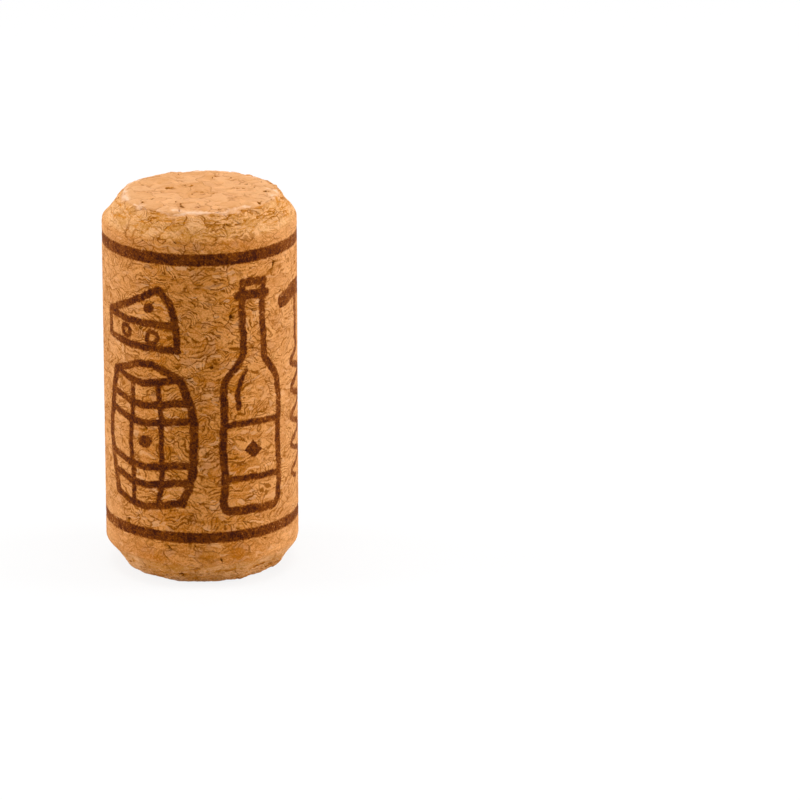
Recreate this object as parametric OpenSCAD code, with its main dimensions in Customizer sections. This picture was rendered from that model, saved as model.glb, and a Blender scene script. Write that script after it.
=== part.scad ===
// Wine cork: one piece of agglomerated cork, moulded, ground round and
// chamfered at both ends. It stands on its lower end face. The origin is the
// centre of that face, and +Z runs along the axis to the upper end face.

/* [Body] */
// Diameter of the ground side wall, in mm
body_d = 22; // [18:0.5:28]
// Length from one end face to the other, in mm
body_l = 44; // [33:1:54]

/* [Chamfered ends] */
// How far each chamfer cuts in from the side wall, in mm
chamfer_w = 2.2; // [1:0.1:4]
// How far each chamfer runs along the cork, in mm
chamfer_h = 3; // [1.5:0.1:6]

/* [Eased corners] */
// Radius that eases the corner between side wall and chamfer, in mm
shoulder_r = 1.4; // [0.2:0.1:3]
// Radius that eases the rim between chamfer and end face, in mm
rim_r = 0.8; // [0.2:0.1:3]

/* [Hidden] */

// Straight steps that stand for one eased corner, and flats round the cork
corner_steps = 8;
round_steps = 128;

body_r = body_d / 2;
face_r = body_r - chamfer_w;
chamfer_len = norm([chamfer_w, chamfer_h]);

// The outline turns twice on its way from the end face to the side wall
shoulder_turn = atan(chamfer_w / chamfer_h);
rim_turn = 90 - shoulder_turn;

// The largest radius whose arc still ends at the middle of the chamfer
function largest_r(turn) = chamfer_len / 2 / tan(turn / 2);

// An arc in place of a sharp corner. The outline comes in at the given
// heading, turns left there, and leaves at heading + turn.
function eased_corner(corner, heading, turn, wanted_r) =
    let (r = min(wanted_r, largest_r(turn)),
         start = corner - r * tan(turn / 2) * [cos(heading), sin(heading)],
         centre = start + r * [-sin(heading), cos(heading)])
    [for (i = [0 : corner_steps])
        let (a = heading + turn * i / corner_steps)
        centre + r * [sin(a), -cos(a)]];

// Outline of the lower end, from its flat face out to the side wall
lower_end = concat(
    eased_corner([face_r, 0], 0, rim_turn, rim_r),
    eased_corner([body_r, chamfer_h], rim_turn, shoulder_turn, shoulder_r));

// The upper end is the same outline turned over
upper_end = [for (i = [len(lower_end) - 1 : -1 : 0])
    [lower_end[i].x, body_l - lower_end[i].y]];

module cork() {
    color("burlywood")
        rotate_extrude($fn = round_steps)
            polygon(concat([[0, 0]], lower_end, upper_end, [[0, body_l]]));
}

cork();
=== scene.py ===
import math

import bmesh
import bpy
import numpy as np
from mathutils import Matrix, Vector


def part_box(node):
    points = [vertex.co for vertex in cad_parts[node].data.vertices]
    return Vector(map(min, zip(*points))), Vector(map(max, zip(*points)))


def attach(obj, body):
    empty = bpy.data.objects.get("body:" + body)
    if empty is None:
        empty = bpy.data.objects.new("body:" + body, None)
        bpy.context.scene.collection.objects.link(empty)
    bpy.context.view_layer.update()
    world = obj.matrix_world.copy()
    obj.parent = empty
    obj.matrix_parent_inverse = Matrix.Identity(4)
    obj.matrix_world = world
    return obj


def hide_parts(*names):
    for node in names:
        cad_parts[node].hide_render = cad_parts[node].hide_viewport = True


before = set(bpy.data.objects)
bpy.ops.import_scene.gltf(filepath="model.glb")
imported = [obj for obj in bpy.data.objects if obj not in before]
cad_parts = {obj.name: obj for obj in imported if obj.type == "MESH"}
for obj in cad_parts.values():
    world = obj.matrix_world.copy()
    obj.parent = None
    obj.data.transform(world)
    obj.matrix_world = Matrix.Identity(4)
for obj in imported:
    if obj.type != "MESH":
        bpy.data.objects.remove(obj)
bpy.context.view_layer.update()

# ---------------------------------------------------------------------------------------------------
# The cork: granules of cork bark, glued with a little binder under heat and pressure into one rod.
# The rod is cut to length, ground round, and chamfered at both ends on an abrasive wheel.
# ---------------------------------------------------------------------------------------------------
MM = 0.001
low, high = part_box("cork")
length = (high.z - low.z) / MM
radius = (high.x - low.x) / 2 / MM

# How far each chamfer cuts in and runs down, and the eased corners at its two ends, in mm
chamfer_in = 2.2
chamfer_run = 3.0
shoulder_r = 1.4
rim_r = 0.8

# The surface is a net of this many squares round, each about 0.2 mm wide, fine enough to hold voids
# and cracks
net_round = 352
net_size = 2 * math.pi * radius / net_round

# The outline, from the flat face over the rim and the chamfer to the straight wall
shoulder_turn = math.atan(chamfer_in / chamfer_run)
rim_turn = math.pi / 2 - shoulder_turn
rim_cut = rim_r * math.tan(rim_turn / 2)
shoulder_cut = shoulder_r * math.tan(shoulder_turn / 2)
face_r = radius - chamfer_in - rim_cut
chamfer_flat = math.hypot(chamfer_in, chamfer_run) - rim_cut - shoulder_cut
wall_half = length / 2 - chamfer_run - shoulder_cut


def walk(place, stretches, step):
    """Points along an outline that starts outwards and turns down over each stretch (length, turn)."""
    heading = 0.0
    for run, turn in stretches:
        steps = max(1, round(run / step))
        half_bend = turn / steps / 2
        stride = run / steps * (math.sin(half_bend) / half_bend if turn else 1)
        for _ in range(steps):
            heading -= half_bend
            place = place + stride * Vector((math.cos(heading), math.sin(heading)))
            heading -= half_bend
            yield place


def cork_mesh():
    """The whole cork as one closed net with no poles: a square grid rounded to the end face, drawn
    out ring by ring down the outline to mid-length, and mirrored."""
    bm = bmesh.new()
    bmesh.ops.create_grid(bm, x_segments=net_round // 4, y_segments=net_round // 4, size=1)
    for v in bm.verts:
        x, y = v.co.x, v.co.y
        ring = max(abs(x), abs(y))
        if ring > 0:
            wide = abs(x) >= abs(y)
            quarter = y / x if wide else 2 - x / y
            behind = (x if wide else y) < 0
            angle = quarter * math.pi / 4 + (math.pi if behind else 0)
            v.co = face_r * ring * Vector((math.cos(angle), math.sin(angle), 0))
        v.co.z = length / 2
    edges = [e for e in bm.edges if e.is_boundary]
    stretches = (
        (rim_r * rim_turn, rim_turn),
        (chamfer_flat, 0),
        (shoulder_r * shoulder_turn, shoulder_turn),
        (wall_half, 0),
    )
    for r, z in walk(Vector((face_r, length / 2)), stretches, net_size):
        made = bmesh.ops.extrude_edge_only(bm, edges=edges)["geom"]
        corners = {v for v in made if isinstance(v, bmesh.types.BMVert)}
        edges = [e for e in made if isinstance(e, bmesh.types.BMEdge)]
        edges = [e for e in edges if corners.issuperset(e.verts)]
        for v in corners:
            v.co = (*(v.co.xy.normalized() * r), z)
    everything = bm.verts[:] + bm.edges[:] + bm.faces[:]
    bmesh.ops.mirror(bm, geom=everything, axis="Z", merge_dist=net_size / 100)
    bmesh.ops.recalc_face_normals(bm, faces=bm.faces)
    bmesh.ops.translate(bm, vec=(0, 0, length / 2), verts=bm.verts)
    bmesh.ops.scale(bm, vec=(MM, MM, MM), verts=bm.verts)
    for f in bm.faces:
        f.smooth = True
    mesh = bpy.data.meshes.new("cork_body")
    bm.to_mesh(mesh)
    bm.free()
    return mesh


cork = bpy.data.objects.new("cork_body", cork_mesh())
bpy.context.scene.collection.objects.link(cork)


def add(tree, kind, values=(), **settings):
    """Adds a node with its settings, and gives each named or numbered input a value or a link."""
    node = tree.nodes.new(kind)
    for name, setting in settings.items():
        setattr(node, name, setting)
    for name, value in dict(values).items():
        if isinstance(value, bpy.types.NodeSocket):
            tree.links.new(value, node.inputs[name])
        else:
            node.inputs[name].default_value = value
    return node.outputs


def granules(tree, place):
    """The pressed bark granules as a solid pattern, from a place in mm. It feeds both the relief and
    the colour, so that they agree. Gives "from_mid", the height above or below mid-length in mm,
    where the cork has its flat "face", its ground "chamfer", the "rim" between them and the pale
    "lip" of the face, then "bent", the place as pressing bent it, "own", each granule's random
    colour, "edge", the distance to its edge in mm, "void", the holes between granules, and "flake"
    and "crevice", each torn flake's random value on the chamfers and the cracks between them. All
    but the places, colours and distances go from 0 to 1. A noise's scale is in features per mm, and
    its W only picks another pattern."""
    across = add(tree, "ShaderNodeVectorMath", {0: place, 1: (1, 1, 0)}, operation="MULTIPLY")[0]
    across = add(tree, "ShaderNodeVectorMath", {0: across}, operation="LENGTH")["Value"]
    height = add(tree, "ShaderNodeSeparateXYZ", {0: place})[2]
    from_mid = add(tree, "ShaderNodeMath", {0: height, 1: length / 2}, operation="SUBTRACT")[0]
    from_mid = add(tree, "ShaderNodeMath", {0: from_mid}, operation="ABSOLUTE")[0]

    # How far out and down from the rim the place is, where the wheel left the rim ragged
    ragged = 0.7
    in_from_rim = {0: across, 1: radius - chamfer_in}
    in_from_rim = add(tree, "ShaderNodeMath", in_from_rim, operation="SUBTRACT")[0]
    up_from_rim = {0: from_mid, 1: length / 2}
    up_from_rim = add(tree, "ShaderNodeMath", up_from_rim, operation="SUBTRACT")[0]
    past_rim = {0: in_from_rim, 1: up_from_rim}
    past_rim = add(tree, "ShaderNodeMath", past_rim, operation="SUBTRACT")[0]
    stray = {"Vector": place, "Scale": 0.5, "Detail": 4.0, "Roughness": 0.6}
    stray = add(tree, "ShaderNodeTexNoise", stray)[0]
    stray = {"Value": stray, "From Min": 0.3, "From Max": 0.7, "To Min": -ragged, "To Max": ragged}
    stray = add(tree, "ShaderNodeMapRange", stray)[0]
    past_rim = add(tree, "ShaderNodeMath", {0: past_rim, 1: stray}, operation="ADD")[0]

    # The flat face, the chamfer outside it, the worn rim between them and the lip of the face
    inner = {"Value": past_rim, "From Min": 0.9, "From Max": -0.35}
    face = add(tree, "ShaderNodeMapRange", inner, interpolation_type="SMOOTHSTEP")[0]
    start = length / 2 - chamfer_run
    rise = {"Value": from_mid, "From Min": start - 0.4, "From Max": start + 0.6}
    end = add(tree, "ShaderNodeMapRange", rise, interpolation_type="SMOOTHSTEP")[0]
    chamfer = {0: end, 1: face}
    chamfer = add(tree, "ShaderNodeMath", chamfer, operation="SUBTRACT", use_clamp=True)[0]
    to_rim = add(tree, "ShaderNodeCombineXYZ", {0: in_from_rim, 1: up_from_rim})[0]
    to_rim = add(tree, "ShaderNodeVectorMath", {0: to_rim}, operation="LENGTH")["Value"]
    near = {"Value": to_rim, "From Min": 1.3, "From Max": 0.2}
    rim = add(tree, "ShaderNodeMapRange", near, interpolation_type="SMOOTHSTEP")[0]
    near = {"Value": past_rim, "From Min": -1.1, "From Max": -0.3}
    lip = add(tree, "ShaderNodeMapRange", near, interpolation_type="SMOOTHSTEP")[0]
    lip = add(tree, "ShaderNodeMath", {0: lip, 1: face}, operation="MULTIPLY")[0]

    # Granules about 2.8 mm across and half as high, squashed and swirled round each other
    granule = 2.8
    squash = 2.1
    swirl = add(tree, "ShaderNodeTexNoise", {"Vector": place, "Scale": 0.42, "Detail": 1.0})["Color"]
    swirl = add(tree, "ShaderNodeVectorMath", {0: swirl, 1: (0.5, 0.5, 0.5)}, operation="SUBTRACT")[0]
    swirl = add(tree, "ShaderNodeVectorMath", {0: swirl, 1: (3.4, 3.4, 1.9)}, operation="MULTIPLY")[0]
    crimp = add(tree, "ShaderNodeTexNoise", {"Vector": place, "Scale": 1.5, "Detail": 2.0})["Color"]
    crimp = add(tree, "ShaderNodeVectorMath", {0: crimp, 1: (0.5, 0.5, 0.5)}, operation="SUBTRACT")[0]
    crimp = add(tree, "ShaderNodeVectorMath", {0: crimp, "Scale": 0.5}, operation="SCALE")[0]
    bent = add(tree, "ShaderNodeVectorMath", {0: place, 1: swirl}, operation="ADD")[0]
    bent = add(tree, "ShaderNodeVectorMath", {0: bent, 1: crimp}, operation="ADD")[0]
    packed = {0: bent, 1: (1.0, 1.0, squash)}
    packed = add(tree, "ShaderNodeVectorMath", packed, operation="MULTIPLY")[0]
    cell = {"Vector": packed, "Scale": 1 / granule, "Randomness": 1.0}
    own = add(tree, "ShaderNodeTexVoronoi", cell)["Color"]
    edge = add(tree, "ShaderNodeTexVoronoi", cell, feature="DISTANCE_TO_EDGE")["Distance"]
    edge = add(tree, "ShaderNodeMath", {0: edge, 1: granule}, operation="MULTIPLY")[0]

    # Voids where granules met loosely, up to this wide either side of their joint, in mm
    void_wide = 0.34
    loose = add(tree, "ShaderNodeTexNoise", {"Vector": place, "Scale": 0.9, "Detail": 1.0})[0]
    loose = add(tree, "ShaderNodeMath", {0: face, 1: 0.08, 2: loose}, operation="MULTIPLY_ADD")[0]
    gap = {"Value": loose, "From Min": 0.685, "From Max": 0.82, "To Max": void_wide}
    gap = add(tree, "ShaderNodeMapRange", gap)[0]
    void = {"Value": edge, "From Min": gap, "From Max": 0.0}
    void = add(tree, "ShaderNodeMapRange", void, interpolation_type="SMOOTHSTEP")[0]

    # Flakes left where the wheel tore the bark: about 2 mm long and 0.7 mm high
    flake = {0: place, 1: (0.5, 0.5, 1.4), 2: crimp}
    flake = add(tree, "ShaderNodeVectorMath", flake, operation="MULTIPLY_ADD")[0]
    flake = {"Vector": flake, "Scale": 1.0, "Randomness": 1.0}
    flake = add(tree, "ShaderNodeTexVoronoi", flake)["Color"]
    flake = add(tree, "ShaderNodeSeparateXYZ", {0: flake})[0]

    # Level cracks where it tore deeper, mostly in a rough strip under the rim, and each open along
    # part of its length
    near = {"Value": past_rim, "From Min": 4.4, "From Max": 2.4}
    under = add(tree, "ShaderNodeMapRange", near, interpolation_type="SMOOTHSTEP")[0]
    under = add(tree, "ShaderNodeMath", {0: under, 1: chamfer}, operation="MULTIPLY")[0]
    rough = {"Vector": place, "W": 12.0, "Scale": 0.22, "Detail": 3.0}
    rough = add(tree, "ShaderNodeTexNoise", rough, noise_dimensions="4D")[0]
    rough = {"Value": rough, "From Min": 0.42, "From Max": 0.56, "To Min": 0.25, "To Max": 1.0}
    rough = add(tree, "ShaderNodeMapRange", rough)[0]
    under = add(tree, "ShaderNodeMath", {0: under, 1: rough}, operation="MULTIPLY")[0]
    where = {0: chamfer, 1: 0.2, 2: under}
    where = add(tree, "ShaderNodeMath", where, operation="MULTIPLY_ADD", use_clamp=True)[0]
    level = {0: place, 1: (0.38, 0.38, 2.2), 2: crimp}
    level = add(tree, "ShaderNodeVectorMath", level, operation="MULTIPLY_ADD")[0]
    ledge = {"Vector": level, "W": 7.0, "Scale": 1.0, "Detail": 2.0}
    ledge = add(tree, "ShaderNodeTexNoise", ledge, noise_dimensions="4D")[0]
    crevice = add(tree, "ShaderNodeMath", {0: ledge, 1: 0.5}, operation="SUBTRACT")[0]
    crevice = add(tree, "ShaderNodeMath", {0: crevice}, operation="ABSOLUTE")[0]
    open_by = {"Vector": place, "W": 7.0, "Scale": 0.55, "Detail": 3.0}
    open_by = add(tree, "ShaderNodeTexNoise", open_by, noise_dimensions="4D")[0]
    open_by = {"Value": open_by, "From Min": 0.38, "From Max": 0.58, "To Max": 0.062}
    open_by = add(tree, "ShaderNodeMapRange", open_by)[0]
    crevice = {"Value": crevice, "From Min": open_by, "From Max": -0.005}
    crevice = add(tree, "ShaderNodeMapRange", crevice, interpolation_type="SMOOTHSTEP")[0]
    crevice = add(tree, "ShaderNodeMath", {0: crevice, 1: where}, operation="MULTIPLY")[0]
    return {
        "from_mid": from_mid,
        "face": face,
        "chamfer": chamfer,
        "rim": rim,
        "lip": lip,
        "bent": bent,
        "own": own,
        "edge": edge,
        "void": void,
        "flake": flake,
        "crevice": crevice,
    }


def add_relief(obj):
    """Sinks voids, torn layers and worn rims into the smooth net, and stores each point's place on
    the smooth cork, in mm, for the material. A depth is in mm, and goes inwards. Only a chamfer
    comes out anywhere, by 0.25 mm at the most, where it was cut off centre."""
    tree = bpy.data.node_groups.new("cork_relief", "GeometryNodeTree")
    tree.interface.new_socket("Geometry", in_out="INPUT", socket_type="NodeSocketGeometry")
    tree.interface.new_socket("Geometry", in_out="OUTPUT", socket_type="NodeSocketGeometry")
    shape = add(tree, "NodeGroupInput")[0]
    metres = add(tree, "GeometryNodeInputPosition")[0]
    place = add(tree, "ShaderNodeVectorMath", {0: metres, "Scale": 1 / MM}, operation="SCALE")[0]
    stored = {"Geometry": shape, "Name": "place_mm", "Value": place}
    shape = add(tree, "GeometryNodeStoreNamedAttribute", stored, data_type="FLOAT_VECTOR")[0]
    bark = granules(tree, place)

    # The voids, and the soft joint round each granule
    void_deep = 0.20
    joint = {
        "Value": bark["edge"],
        "From Min": 0.30,
        "From Max": 0.0,
        "To Min": 0.012,
        "To Max": 0.05,
    }
    joint = add(tree, "ShaderNodeMapRange", joint, interpolation_type="SMOOTHSTEP")[0]
    depth = {0: bark["void"], 1: void_deep, 2: joint}
    depth = add(tree, "ShaderNodeMath", depth, operation="MULTIPLY_ADD")[0]

    # The end faces, cut unevenly, and each granule of them a little deeper or shallower
    face_deep = 0.22
    own = add(tree, "ShaderNodeSeparateXYZ", {0: bark["own"]})[2]
    cut = add(tree, "ShaderNodeTexNoise", {"Vector": place, "Scale": 0.25, "Detail": 2.0})[0]
    cut = {"Value": cut, "From Min": 0.30, "From Max": 0.70, "To Max": face_deep}
    cut = add(tree, "ShaderNodeMapRange", cut)[0]
    cut = add(tree, "ShaderNodeMath", {0: own, 1: 0.06, 2: cut}, operation="MULTIPLY_ADD")[0]
    cut = {0: cut, 1: bark["face"], 2: depth}
    depth = add(tree, "ShaderNodeMath", cut, operation="MULTIPLY_ADD")[0]

    # The chamfers, which wander and were cut a little off centre, with flakes and cracks torn out
    wander_by = 0.15
    off_centre = 0.013
    flake_deep = 0.10
    crack_deep = 0.12
    side, _, height = add(tree, "ShaderNodeSeparateXYZ", {0: place})
    wander = add(tree, "ShaderNodeTexNoise", {"Vector": place, "Scale": 0.20, "Detail": 1.0})[0]
    wander = {
        "Value": wander,
        "From Min": 0.30,
        "From Max": 0.70,
        "To Min": -wander_by,
        "To Max": wander_by,
    }
    wander = add(tree, "ShaderNodeMapRange", wander)[0]
    wander = {0: side, 1: -off_centre, 2: wander}
    wander = add(tree, "ShaderNodeMath", wander, operation="MULTIPLY_ADD")[0]
    torn = {0: bark["flake"], 1: flake_deep, 2: wander}
    torn = add(tree, "ShaderNodeMath", torn, operation="MULTIPLY_ADD")[0]
    torn = {0: torn, 1: bark["chamfer"], 2: depth}
    depth = add(tree, "ShaderNodeMath", torn, operation="MULTIPLY_ADD")[0]
    crack = {0: bark["crevice"], 1: crack_deep, 2: depth}
    depth = add(tree, "ShaderNodeMath", crack, operation="MULTIPLY_ADD")[0]

    # The rims, worn since, and the upper one more than the lower
    least_worn = 0.08
    most_worn = 0.32
    worn = add(tree, "ShaderNodeTexNoise", {"Vector": place, "Scale": 0.55, "Detail": 3.0})[0]
    worn = {
        "Value": worn,
        "From Min": 0.36,
        "From Max": 0.68,
        "To Min": least_worn,
        "To Max": most_worn,
    }
    worn = add(tree, "ShaderNodeMapRange", worn)[0]
    upper = {"Value": height, "From Max": length, "To Min": 0.3, "To Max": 1.0}
    upper = add(tree, "ShaderNodeMapRange", upper)[0]
    worn = add(tree, "ShaderNodeMath", {0: worn, 1: upper}, operation="MULTIPLY")[0]
    worn = {0: worn, 1: bark["rim"], 2: depth}
    depth = add(tree, "ShaderNodeMath", worn, operation="MULTIPLY_ADD")[0]

    # The net moves along its normals, and nowhere further out than this
    furthest_out = 0.25
    depth = add(tree, "ShaderNodeMath", {0: depth, 1: -furthest_out}, operation="MAXIMUM")[0]
    outwards = add(tree, "ShaderNodeMath", {0: depth, 1: -MM}, operation="MULTIPLY")[0]
    normal = add(tree, "GeometryNodeInputNormal")[0]
    shift = {0: normal, "Scale": outwards}
    shift = add(tree, "ShaderNodeVectorMath", shift, operation="SCALE")[0]
    shape = add(tree, "GeometryNodeSetPosition", {"Geometry": shape, "Offset": shift})[0]
    add(tree, "NodeGroupOutput", {0: shape})
    carve = obj.modifiers.new("relief", "NODES")
    carve.node_group = tree
    now = bpy.context.evaluated_depsgraph_get()
    carved = bpy.data.meshes.new_from_object(obj.evaluated_get(now), depsgraph=now)
    obj.modifiers.clear()
    obj.data = carved


add_relief(cork)

# The print, in one dark brown ink from a rubber roller: two plain bands, and between them a cask, a
# wedge of cheese, a bottle and a corkscrew. Each point of the net gets its depth inside the ink. All
# of it is in mm, and a place is (way round from the front, height above the lower face).
places = np.empty(len(cork.data.vertices) * 3, np.float32)
cork.data.attributes["place_mm"].data.foreach_get("vector", places)
places = places.reshape(-1, 3)
around = radius * np.arctan2(places[:, 0], -places[:, 1])
up = places[:, 2]
ink = np.full(len(places), -1.0)

# The bands, as (height, width)
bands = ((38.95, 1.44), (6.25, 1.3))
for level, width in bands:
    np.maximum(ink, width / 2 - np.abs(up - level), out=ink)

# The roller's drawing was cut by hand, so its lines stray a little
around = around + 0.10 * np.sin(0.8 * up + 0.6) + 0.04 * np.sin(3.1 * up)
up = up + 0.10 * np.sin(0.7 * around + 1.1) + 0.04 * np.sin(2.7 * around)


def curve(*points, step=0.12):
    """A smooth line through a few points, as many points close together."""
    p = [np.array(c, float) for c in points]
    p = [2 * p[0] - p[1], *p, 2 * p[-1] - p[-2]]
    line = []
    for before, start, end, after in zip(p, p[1:], p[2:], p[3:]):
        t = np.linspace(0, 1, 2 + int(math.dist(start, end) / step))[:, None]
        line.append(
            start
            + (end - before) / 2 * t
            + (before - 2.5 * start + 2 * end - after / 2) * t**2
            + (1.5 * (start - end) + (after - before) / 2) * t**3
        )
    return np.concatenate(line)


def arc(centre, size, start, end, step=0.12):
    """Points along an arc between two angles, in degrees."""
    steps = int(abs(math.radians(end - start)) * size / step)
    turn = np.radians(np.linspace(start, end, 2 + steps))
    return np.array(centre) + size * np.column_stack((np.cos(turn), np.sin(turn)))


def draw(line, width, tip=None):
    """Inks a line of round-ended strokes, width mm wide, which narrows to tip at its end."""
    half = np.linspace(width, width if tip is None else tip, len(line)) / 2
    left, foot = line.min(axis=0) - 1
    right, top = line.max(axis=0) + 1
    near = (around > left) & (around < right) & (up > foot) & (up < top)
    for part in np.array_split(np.flatnonzero(near), 16):
        gap = np.hypot(around[part, None] - line[:, 0], up[part, None] - line[:, 1])
        ink[part] = np.maximum(ink[part], (half - gap).max(axis=1, initial=-1))


# The cask, standing: its bulging sides, two staves, its foot, four hoops and lid, and a bung
pen = 0.9
cask_at = -6.3
for side in (-1, 1):
    bulge = curve(
        (cask_at + side * 4.5, 10.3),
        (cask_at + side * 5.5, 13.8),
        (cask_at + side * 5.9, 17.6),
        (cask_at + side * 5.5, 21.4),
        (cask_at + side * 4.5, 24.9),
    )
    draw(bulge, 1.05)
    stave = curve(
        (cask_at + side * 1.7, 9.9),
        (cask_at + side * 2.1, 17),
        (cask_at + side * 1.7, 24),
    )
    draw(stave, 0.7)
hoops = ((10.3, 4.5), (12.9, 5.3), (15.0, 5.7), (20.2, 5.7), (22.3, 5.3), (24.9, 4.5))
for height, half in hoops:
    draw(curve((cask_at - half, height), (cask_at, height - 0.8), (cask_at + half, height)), pen)
draw(curve((cask_at - 4.5, 24.9), (cask_at, 26.4), (cask_at + 4.5, 24.9)), pen)
draw(curve((cask_at - 0.2, 17.2), (cask_at + 0.2, 17.2)), 1.5)

# A wedge of cheese above it, with three holes
tip = (-12.2, 31.4)
near = (-2.4, 31.0)
far = (-4.4, 35.2)
below_tip = (-12.2, 28.6)
below_near = (-2.4, 28.2)
for start, end in ((tip, near), (tip, far), (tip, below_tip), (near, below_near)):
    draw(curve(start, end), pen)
draw(curve(near, (-2.9, 33.3), far), pen)
draw(curve(below_tip, below_near), pen)
draw(arc((-9.1, 29.9), 0.6, 0, 360), 0.6)
draw(arc((-5.4, 29.5), 0.7, 0, 360), 0.6)
draw(curve((-5.7, 32.9), (-5.5, 32.9)), 1.2)

# The bottle, in outline, with a blank label. Its body and neck are twice this wide
bottle_at = 6.6
body = 3.7
neck = 1.35
corner = 1.1
for side in (-1, 1):
    draw(curve((bottle_at + side * body, 10.2), (bottle_at + side * body, 22.4)), 0.95)
    draw(arc((bottle_at + side * (body - corner), 10.2), corner, 270, 270 + side * 90), 0.95)
    shoulder = curve(
        (bottle_at + side * body, 22.4),
        (bottle_at + side * (body - 0.35), 24.6),
        (bottle_at + side * (neck + 0.25), 26.9),
        (bottle_at + side * neck, 29.2),
        (bottle_at + side * neck, 33.9),
    )
    draw(shoulder, 0.95, 0.9)
draw(curve((bottle_at - body + corner, 9.1), (bottle_at + body - corner, 9.1)), 1.1)
draw(curve((bottle_at - 1.75, 34.4), (bottle_at + 1.75, 34.4)), 1.15)
draw(curve((bottle_at - 1.4, 35.9), (bottle_at + 1.4, 35.9)), 1.0)
for side in (-1, 1):
    draw(curve((bottle_at + side * 1.4, 34.4), (bottle_at + side * 1.4, 35.9)), 0.8)
for height in (12.9, 19.4):
    draw(curve((bottle_at - body, height), (bottle_at + body, height)), 0.8)

# A glint on its shoulder, and a diamond on its label
draw(curve((bottle_at - 2.0, 21.3), (bottle_at - 1.9, 23.4), (bottle_at - 0.9, 25.6)), 0.75, 0.6)
diamond = 1.15 - np.abs(around - bottle_at) - np.abs(up - 16.15)
np.maximum(ink, np.minimum(diamond, 0.5), out=ink)

# The corkscrew: a turned handle, a shank and a wire worm of five turns
screw_at = 14.9
draw(curve((screw_at - 3.4, 32.7), (screw_at, 33.2), (screw_at + 3.4, 32.7)), 2.0)
draw(curve((screw_at, 33.0), (screw_at, 27.4)), 1.1)
wind = np.linspace(0, 1, 400)
swing = 1.55 * np.minimum(1, 6 * wind) * np.sin(2 * math.pi * 5 * wind)
draw(np.column_stack((screw_at + swing, 27.4 - 16.6 * wind)), 0.95, 0.6)

mark = cork.data.attributes.new("ink_mm", "FLOAT", "POINT")
mark.data.foreach_set("value", ink.astype(np.float32))


def linear(code):
    """An sRGB hex colour as linear RGBA."""
    parts = [int(code[i : i + 2], 16) / 255 for i in (1, 3, 5)]
    return (*(c / 12.92 if c <= 0.04045 else ((c + 0.055) / 1.055) ** 2.4 for c in parts), 1.0)


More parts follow.
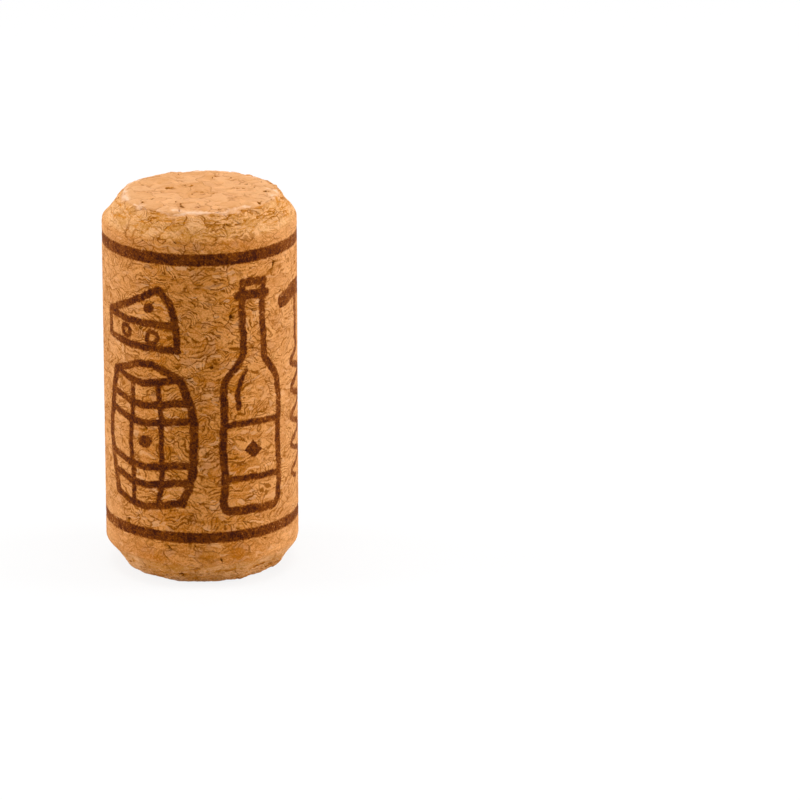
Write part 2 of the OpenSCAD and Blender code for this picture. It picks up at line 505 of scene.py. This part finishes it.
def agglomerated_cork():
    """Agglomerated cork, ground and unvarnished: matt, warm tan, each granule with its own tone and
    its own thin brown growth layers, voids where granules meet with painted shade in them, pale
    chips, a painted sheen on the flanks and a painted highlight on the worn lip of each face."""
    material = bpy.data.materials.new("agglomerated_cork")
    material.use_nodes = True
    tree = material.node_tree
    tree.nodes.clear()
    place = add(tree, "ShaderNodeAttribute", attribute_name="place_mm")["Vector"]
    bark = granules(tree, place)
    own = add(tree, "ShaderNodeSeparateColor", {0: bark["own"]})
    side, _, height = add(tree, "ShaderNodeSeparateXYZ", {0: place})

    # The left and right flanks get a painted sheen: a little paler and calmer, with fainter marks
    sheened_flank = add(tree, "ShaderNodeMath", {0: side}, operation="ABSOLUTE")[0]
    sheened_flank = {"Value": sheened_flank, "From Min": 0.4 * radius, "From Max": 0.95 * radius}
    sheened_flank = add(tree, "ShaderNodeMapRange", sheened_flank)[0]

    # Growth layers: thin brown lines through each granule at its own slant, mostly level. A mm holds
    # this many half layers, so the lines are from 0.6 down to 0.3 mm apart
    fewest = 3.25
    most = 6.25
    slant = {0: bark["own"], 1: (0.5, 0.5, 0.5)}
    slant = add(tree, "ShaderNodeVectorMath", slant, operation="SUBTRACT")[0]
    slant = add(tree, "ShaderNodeVectorMath", {0: slant, 1: (1.8, 1.8, 0.6)}, operation="MULTIPLY")[0]
    slant = add(tree, "ShaderNodeVectorMath", {0: slant, 1: (0, 0, 0.75)}, operation="ADD")[0]
    slant = add(tree, "ShaderNodeVectorMath", {0: slant}, operation="NORMALIZE")[0]
    across = {0: bark["bent"], 1: slant}
    across = add(tree, "ShaderNodeVectorMath", across, operation="DOT_PRODUCT")["Value"]
    wave = {"Vector": place, "Scale": 2.0, "Detail": 4.0, "Roughness": 0.6}
    wave = add(tree, "ShaderNodeTexNoise", wave)[0]
    across = add(tree, "ShaderNodeMath", {0: wave, 1: 0.6, 2: across}, operation="MULTIPLY_ADD")[0]
    crowd = add(tree, "ShaderNodeMapRange", {"Value": own[1], "To Min": fewest, "To Max": most})[0]
    layer = add(tree, "ShaderNodeMath", {0: across, 1: crowd}, operation="MULTIPLY")[0]

    # The lines of a granule are numbered, so that each has its own width and strength
    year = add(tree, "ShaderNodeMath", {0: layer, 1: 0.5, 2: 0.5}, operation="MULTIPLY_ADD")[0]
    year = add(tree, "ShaderNodeMath", {0: year}, operation="FLOOR")[0]
    year = add(tree, "ShaderNodeMath", {0: own[2], 1: 50.0, 2: year}, operation="MULTIPLY_ADD")[0]
    year = add(tree, "ShaderNodeTexWhiteNoise", {"W": year}, noise_dimensions="1D")["Value"]
    strong = add(tree, "ShaderNodeMapRange", {"Value": year, "To Min": 0.5, "To Max": 1.7})[0]
    thick = add(tree, "ShaderNodeMapRange", {"Value": year, "To Min": 0.30, "To Max": 0.62})[0]

    # Lines break off every millimetre or so, and taper there
    keep = {"Vector": place, "Scale": 0.9, "Detail": 5.0, "Roughness": 0.66}
    keep = add(tree, "ShaderNodeTexNoise", keep)[0]
    keep = add(tree, "ShaderNodeMapRange", {"Value": keep, "From Min": 0.40, "From Max": 0.54})[0]
    taper = add(tree, "ShaderNodeMapRange", {"Value": keep, "To Min": 0.45, "To Max": 1.1})[0]
    thick = add(tree, "ShaderNodeMath", {0: thick, 1: taper}, operation="MULTIPLY")[0]
    layer = add(tree, "ShaderNodeMath", {0: layer, 1: 1.0}, operation="PINGPONG")[0]
    line = {"Value": layer, "From Min": thick, "From Max": 0.03}
    line = add(tree, "ShaderNodeMapRange", line, interpolation_type="SMOOTHSTEP")[0]
    keep = add(tree, "ShaderNodeMath", {0: keep, 1: strong}, operation="MULTIPLY")[0]
    line = add(tree, "ShaderNodeMath", {0: line, 1: keep}, operation="MULTIPLY", use_clamp=True)[0]

    # The bark beside a line is stained by it
    stained = {"Value": layer, "From Min": 0.95, "From Max": 0.10, "To Max": 0.50}
    stained = add(tree, "ShaderNodeMapRange", stained)[0]
    stained = add(tree, "ShaderNodeMath", {0: stained, 1: keep}, operation="MULTIPLY")[0]

    # Glued edges: broken dark outlines
    frill = add(tree, "ShaderNodeTexNoise", {"Vector": place, "Scale": 4.0, "Detail": 3.0})[0]
    frill = {0: frill, 1: 0.24, 2: bark["edge"]}
    frill = add(tree, "ShaderNodeMath", frill, operation="MULTIPLY_ADD")[0]
    outline = {"Value": frill, "From Min": 0.26, "From Max": 0.12}
    outline = add(tree, "ShaderNodeMapRange", outline, interpolation_type="SMOOTHSTEP")[0]
    keep = add(tree, "ShaderNodeTexNoise", {"Vector": place, "Scale": 0.7, "Detail": 2.0})[0]
    keep = add(tree, "ShaderNodeMapRange", {"Value": keep, "From Min": 0.36, "From Max": 0.58})[0]
    outline = add(tree, "ShaderNodeMath", {0: outline, 1: keep}, operation="MULTIPLY")[0]

    # Lines and outlines are fainter on the flanks, as part of their painted sheen, near the foot and
    # on the end faces, where layers are cut across, and the growth lines also from the bands outwards
    faint = add(tree, "ShaderNodeMapRange", {"Value": bark["face"], "To Min": 1.0, "To Max": 0.16})[0]
    broken = add(tree, "ShaderNodeMapRange", {"Value": bark["face"], "To Min": 1.0, "To Max": 0.45})[0]
    calm = add(tree, "ShaderNodeMapRange", {"Value": sheened_flank, "To Min": 1.0, "To Max": 0.54})[0]
    foot = {"Value": height, "From Min": 1.5, "From Max": 9.0, "To Min": 0.6, "To Max": 1.0}
    foot = add(tree, "ShaderNodeMapRange", foot)[0]
    ends = {
        "Value": bark["from_mid"],
        "From Min": 15.6,
        "From Max": 17.8,
        "To Min": 1.0,
        "To Max": 0.5,
    }
    ends = add(tree, "ShaderNodeMapRange", ends)[0]
    calm = add(tree, "ShaderNodeMath", {0: calm, 1: foot}, operation="MULTIPLY")[0]
    faint = add(tree, "ShaderNodeMath", {0: faint, 1: calm}, operation="MULTIPLY")[0]
    faint = add(tree, "ShaderNodeMath", {0: faint, 1: ends}, operation="MULTIPLY")[0]
    line = add(tree, "ShaderNodeMath", {0: line, 1: faint}, operation="MULTIPLY")[0]
    stained = add(tree, "ShaderNodeMath", {0: stained, 1: faint}, operation="MULTIPLY")[0]
    outline = add(tree, "ShaderNodeMath", {0: outline, 1: broken}, operation="MULTIPLY")[0]
    outline = add(tree, "ShaderNodeMath", {0: outline, 1: calm}, operation="MULTIPLY")[0]
    dark = add(tree, "ShaderNodeMath", {0: line, 1: outline}, operation="MAXIMUM")[0]
    stained = {0: outline, 1: 0.4, 2: stained}
    stained = add(tree, "ShaderNodeMath", stained, operation="MULTIPLY_ADD", use_clamp=True)[0]

    # Strands: each granule is a bundle of paler and darker layers, which the end faces cut across
    strand = {0: bark["bent"], 1: (0.55, 0.55, 2.6)}
    strand = add(tree, "ShaderNodeVectorMath", strand, operation="MULTIPLY")[0]
    tone = add(tree, "ShaderNodeTexNoise", {"Vector": strand, "Scale": 1.0, "Detail": 3.0})[0]
    tone = {0: bark["face"], 2: tone, 3: 0.48}
    tone = add(tree, "ShaderNodeMix", tone, data_type="FLOAT")[0]
    tone = add(tree, "ShaderNodeMath", {0: own[0], 1: 0.25, 2: tone}, operation="MULTIPLY_ADD")[0]
    broad = add(tree, "ShaderNodeTexNoise", {"Vector": bark["bent"], "Scale": 0.3, "Detail": 2.0})[0]
    tone = add(tree, "ShaderNodeMath", {0: broad, 1: 0.3, 2: tone}, operation="MULTIPLY_ADD")[0]
    tone = add(tree, "ShaderNodeMapRange", {"Value": tone, "From Min": 0.49, "From Max": 1.05})[0]
    # On the flanks the tone is levelled off, as part of their painted sheen
    level_off = add(tree, "ShaderNodeMath", {0: sheened_flank, 1: 0.25}, operation="MULTIPLY")[0]
    tone = add(tree, "ShaderNodeMix", {0: level_off, 2: tone, 3: 0.42}, data_type="FLOAT")[0]

    # The chamfers' torn flakes each catch their own tone, and all of it is peppered by cut cells
    torn = add(tree, "ShaderNodeMath", {0: bark["flake"], 1: 0.5}, operation="SUBTRACT")[0]
    torn = add(tree, "ShaderNodeMath", {0: torn, 1: bark["chamfer"]}, operation="MULTIPLY")[0]
    tone = add(tree, "ShaderNodeMath", {0: torn, 1: 0.6, 2: tone}, operation="MULTIPLY_ADD")[0]
    speck = {"Vector": place, "Scale": 6.5, "Detail": 2.0, "Roughness": 0.7}
    speck = add(tree, "ShaderNodeTexNoise", speck)[0]
    grit = add(tree, "ShaderNodeMath", {0: speck, 1: 0.5}, operation="SUBTRACT")[0]
    pepper = add(tree, "ShaderNodeMapRange", {"Value": bark["face"], "To Min": 2.6, "To Max": 0.8})[0]
    cells = {0: grit, 1: pepper, 2: tone}
    tone = add(tree, "ShaderNodeMath", cells, operation="MULTIPLY_ADD", use_clamp=True)[0]

    # The bare bark of the side wall, the ground chamfers and the flat faces, each from dark to pale
    bare = []
    for darkest, palest in (("#B2640C", "#E29A54"), ("#BE7E34", "#E4AA72"), ("#CC9058", "#E0AA7A")):
        shade = {0: tone, 6: linear(darkest), 7: linear(palest)}
        bare.append(add(tree, "ShaderNodeMix", shade, data_type="RGBA")[2])
    wall, ground, flat = bare
    colour = {0: bark["chamfer"], 6: wall, 7: ground}
    colour = add(tree, "ShaderNodeMix", colour, data_type="RGBA")[2]
    colour = {0: bark["face"], 6: colour, 7: flat}
    colour = add(tree, "ShaderNodeMix", colour, data_type="RGBA")[2]

    # The flanks' painted sheen, then greyish blotches, and ochre ones where the bark was denser,
    # all blotches fainter on the chamfers, and on the flanks under the painted sheen
    pale = add(tree, "ShaderNodeMath", {0: sheened_flank, 1: 0.2}, operation="MULTIPLY")[0]
    even = add(tree, "ShaderNodeMath", {0: bark["chamfer"], 1: sheened_flank}, operation="MAXIMUM")[0]
    even = add(tree, "ShaderNodeMapRange", {"Value": even, "To Min": 1.0, "To Max": 0.4})[0]
    grey = add(tree, "ShaderNodeTexNoise", {"Vector": place, "Scale": 0.7, "Detail": 2.0})[0]
    grey = {"Value": grey, "From Min": 0.54, "From Max": 0.66, "To Max": 0.38}
    grey = add(tree, "ShaderNodeMapRange", grey)[0]
    grey = add(tree, "ShaderNodeMath", {0: grey, 1: even}, operation="MULTIPLY")[0]
    dense = add(tree, "ShaderNodeTexNoise", {"Vector": bark["bent"], "Scale": 0.9, "Detail": 1.0})[0]
    dense = {"Value": dense, "From Min": 0.54, "From Max": 0.68, "To Max": 0.26}
    dense = add(tree, "ShaderNodeMapRange", dense)[0]
    dense = add(tree, "ShaderNodeMath", {0: dense, 1: even}, operation="MULTIPLY")[0]

    # Pale chips of clean bark, 1 mm across and 0.4 mm high
    chip = {0: bark["bent"], 1: (1.0, 1.0, 2.6)}
    chip = add(tree, "ShaderNodeVectorMath", chip, operation="MULTIPLY")[0]
    chip = add(tree, "ShaderNodeTexVoronoi", {"Vector": chip, "Scale": 1.0})["Color"]
    chip = add(tree, "ShaderNodeSeparateColor", {0: chip})[0]
    chip = {"Value": chip, "From Min": 0.91, "From Max": 0.99, "To Max": 0.62}
    chip = add(tree, "ShaderNodeMapRange", chip)[0]

    # Painted shade in the voids and cracks: ochre at their mouths and dark where they are deep
    void_mouth_shade = {"Value": bark["void"], "From Max": 0.25, "To Max": 0.9}
    void_mouth_shade = add(tree, "ShaderNodeMapRange", void_mouth_shade)[0]
    void_deep = {"Value": bark["void"], "From Min": 0.25, "From Max": 0.9}
    void_deep = add(tree, "ShaderNodeMapRange", void_deep)[0]
    crack_mouth_shade = {"Value": bark["crevice"], "From Max": 0.4, "To Max": 0.8}
    crack_mouth_shade = add(tree, "ShaderNodeMapRange", crack_mouth_shade)[0]
    crack_deep = add(tree, "ShaderNodeMapRange", {"Value": bark["crevice"], "From Min": 0.42})[0]

    # The frayed lip of the face is pale in places: worn fibre, and partly a painted highlight on the
    # edge
    fray_and_highlight = add(tree, "ShaderNodeTexNoise", {"Vector": place, "Scale": 0.4, "Detail": 5.0})[0]
    fray_and_highlight = {"Value": fray_and_highlight, "From Min": 0.48, "From Max": 0.56, "To Max": 0.8}
    fray_and_highlight = add(tree, "ShaderNodeMapRange", fray_and_highlight)[0]
    fray_and_highlight = add(tree, "ShaderNodeMath", {0: fray_and_highlight, 1: bark["lip"]}, operation="MULTIPLY")[0]

    # The ink soaks in unevenly: thin at its ragged edges and in patches, and nearly black where it
    # lies heavy. On the flanks it is paler, as part of their painted sheen
    inked = add(tree, "ShaderNodeAttribute", attribute_name="ink_mm")["Fac"]
    grain = add(tree, "ShaderNodeTexNoise", {"Vector": place, "Scale": 3.5, "Detail": 4.0})[0]
    inked = add(tree, "ShaderNodeMath", {0: grain, 1: 0.4, 2: inked}, operation="MULTIPLY_ADD")[0]
    inked = add(tree, "ShaderNodeMapRange", {"Value": inked, "From Min": 0.13, "From Max": 0.34})[0]
    patch = {"Vector": place, "Scale": 2.2, "Detail": 5.0, "Roughness": 0.85}
    patch = add(tree, "ShaderNodeTexNoise", patch)[0]
    patch = {"Value": patch, "From Min": 0.36, "From Max": 0.64, "To Min": 1.1, "To Max": 0.35}
    patch = add(tree, "ShaderNodeMapRange", patch)[0]
    heavy = add(tree, "ShaderNodeTexNoise", {"Vector": place, "Scale": 0.45, "Detail": 2.0})[0]
    heavy = {"Value": heavy, "From Min": 0.36, "From Max": 0.64, "To Min": 1.22, "To Max": 0.80}
    heavy = add(tree, "ShaderNodeMapRange", heavy)[0]
    # pressed: the ink is paler on the flanks, painted sheen rather than lighter pressure
    pressed = {"Value": sheened_flank, "From Min": 0.3, "To Min": 1.0, "To Max": 0.68}
    pressed = add(tree, "ShaderNodeMapRange", pressed)[0]
    patch = add(tree, "ShaderNodeMath", {0: patch, 1: heavy}, operation="MULTIPLY")[0]
    patch = add(tree, "ShaderNodeMath", {0: patch, 1: pressed}, operation="MULTIPLY")[0]
    patch = add(tree, "ShaderNodeMath", {0: grit, 1: 1.6, 2: patch}, operation="MULTIPLY_ADD")[0]
    inked = add(tree, "ShaderNodeMath", {0: inked, 1: patch}, operation="MULTIPLY")[0]
    thin_ink = add(tree, "ShaderNodeMapRange", {"Value": inked, "From Max": 0.42})[0]
    thick_ink = add(tree, "ShaderNodeMapRange", {"Value": inked, "From Min": 0.35, "To Max": 0.97})[0]

    # What lies over the bare bark, from the bottom up: the flanks' painted sheen, blotches, stains,
    # lines, chips, painted shade in voids and cracks, the lip's wear with its painted highlight, and
    # ink
    for share, code in (
        (pale, "#E8C498"),
        (grey, "#CC9468"),
        (dense, "#B06A04"),
        (stained, "#B06A08"),
        (dark, "#824400"),
        (chip, "#E2A670"),
        (void_mouth_shade, "#A86408"),
        (void_deep, "#5A2A02"),
        (crack_mouth_shade, "#BE7414"),
        (crack_deep, "#743A04"),
        (fray_and_highlight, "#EEC6A6"),
        (thin_ink, "#7E3E04"),
        (thick_ink, "#3A140A"),
    ):
        colour = {0: share, 6: colour, 7: linear(code)}
        colour = add(tree, "ShaderNodeMix", colour, data_type="RGBA")[2]

    # Fine relief, in mm: the lines are sunk and the cut cells stand rough, and all of it is matt
    line_deep = 0.05
    grain_high = 0.06
    relief = add(tree, "ShaderNodeMath", {0: dark, 1: -line_deep}, operation="MULTIPLY")[0]
    relief = {0: speck, 1: grain_high, 2: relief}
    relief = add(tree, "ShaderNodeMath", relief, operation="MULTIPLY_ADD")[0]
    relief = add(tree, "ShaderNodeMath", {0: relief, 1: MM}, operation="MULTIPLY")[0]
    bump = add(tree, "ShaderNodeBump", {"Height": relief, "Strength": 1.0, "Distance": 1.0})[0]
    matt = add(tree, "ShaderNodeMapRange", {"Value": tone, "To Min": 0.75, "To Max": 0.55})[0]
    skin = {
        "Base Color": colour,
        "Roughness": matt,
        "IOR": 1.45,
        "Specular IOR Level": 0.03,
        "Normal": bump,
    }
    surface = add(tree, "ShaderNodeBsdfPrincipled", skin)[0]
    add(tree, "ShaderNodeOutputMaterial", {"Surface": surface})
    return material


cork.data.materials.clear()
cork.data.materials.append(agglomerated_cork())
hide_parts("cork")
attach(cork, "root")

# ---------------------------------------------------------------------------------------------------
# The studio: a white sweep, one broad softbox overhead and one on each side, and a camera a little
# above the cork.
# ---------------------------------------------------------------------------------------------------


def shown_white(tree):
    """1 for rays that see the studio directly, in a mirror or through glass, and 0 for lighting."""
    ray = add(tree, "ShaderNodeLightPath")
    seen = {0: ray["Is Camera Ray"], 1: ray["Is Glossy Ray"]}
    seen = add(tree, "ShaderNodeMath", seen, operation="ADD")[0]
    seen = {0: seen, 1: ray["Is Transmission Ray"]}
    return add(tree, "ShaderNodeMath", seen, operation="ADD", use_clamp=True)[0]


paper = bpy.data.materials.new("white_paper")
paper.use_nodes = True
tree = paper.node_tree
tree.nodes.clear()
matt = add(tree, "ShaderNodeBsdfDiffuse", {"Color": (0.85, 0.85, 0.85, 1)})[0]
glow = add(tree, "ShaderNodeEmission", {"Color": (1, 1, 1, 1), "Strength": 1.0})[0]
share = add(tree, "ShaderNodeMath", {0: shown_white(tree), 1: 0.85}, operation="MULTIPLY")[0]
mixed = add(tree, "ShaderNodeMixShader", {0: share, 1: matt, 2: glow})[0]
add(tree, "ShaderNodeOutputMaterial", {"Surface": mixed})

bm = bmesh.new()
bmesh.ops.create_grid(bm, x_segments=1, y_segments=1, size=4)
floor_mesh = bpy.data.meshes.new("floor")
bm.to_mesh(floor_mesh)
bm.free()
floor_mesh.materials.append(paper)
floor = bpy.data.objects.new("floor", floor_mesh)
bpy.context.scene.collection.objects.link(floor)

world = bpy.data.worlds.new("studio")
world.use_nodes = True
bpy.context.scene.world = world
tree = world.node_tree
tree.nodes.clear()
level = {"Value": shown_white(tree), "To Min": 0.18, "To Max": 1.0}
level = add(tree, "ShaderNodeMapRange", level)[0]
sky = add(tree, "ShaderNodeBackground", {"Color": (1, 1, 1, 1), "Strength": level})[0]
add(tree, "ShaderNodeOutputWorld", {"Surface": sky})

# Each softbox: its place and width in metres, and its power in watts
softboxes = {
    "overhead": ((0.0, 0.0, 0.7), 0.6, 4.4),
    "left": ((-0.7, 0.0, 0.25), 0.4, 3.8),
    "right": ((0.7, 0.0, 0.25), 0.4, 4.3),
}
middle = Vector((0, 0, length / 2 * MM))
for name, (spot, size, power) in softboxes.items():
    lamp = bpy.data.lights.new(name, "AREA")
    lamp.size = size
    lamp.energy = power
    box = bpy.data.objects.new(name, lamp)
    box.location = spot
    box.rotation_euler = (middle - Vector(spot)).to_track_quat("-Z", "Y").to_euler()
    bpy.context.scene.collection.objects.link(box)

# A long lens from 0.7 m away, looking 18 degrees down, with the cork left of the middle
camera_rise = math.radians(18.4)
camera_far = 0.715
cork_left = 0.0226
cork_low = 0.01803
right = Vector((1, 0, 0))
upwards = Vector((0, math.sin(camera_rise), math.cos(camera_rise)))
ahead = Vector((0, math.cos(camera_rise), -math.sin(camera_rise)))
eye = bpy.data.cameras.new("camera")
eye.sensor_width = 36
eye.lens = 280.8
eye.clip_start = 0.05
eye.clip_end = 10
camera = bpy.data.objects.new("camera", eye)
camera.location = cork_left * right + cork_low * upwards - camera_far * ahead
camera.rotation_euler = (math.pi / 2 - camera_rise, 0, 0)
bpy.context.scene.collection.objects.link(camera)
bpy.context.scene.camera = camera
bpy.context.scene.view_settings.view_transform = "Standard"
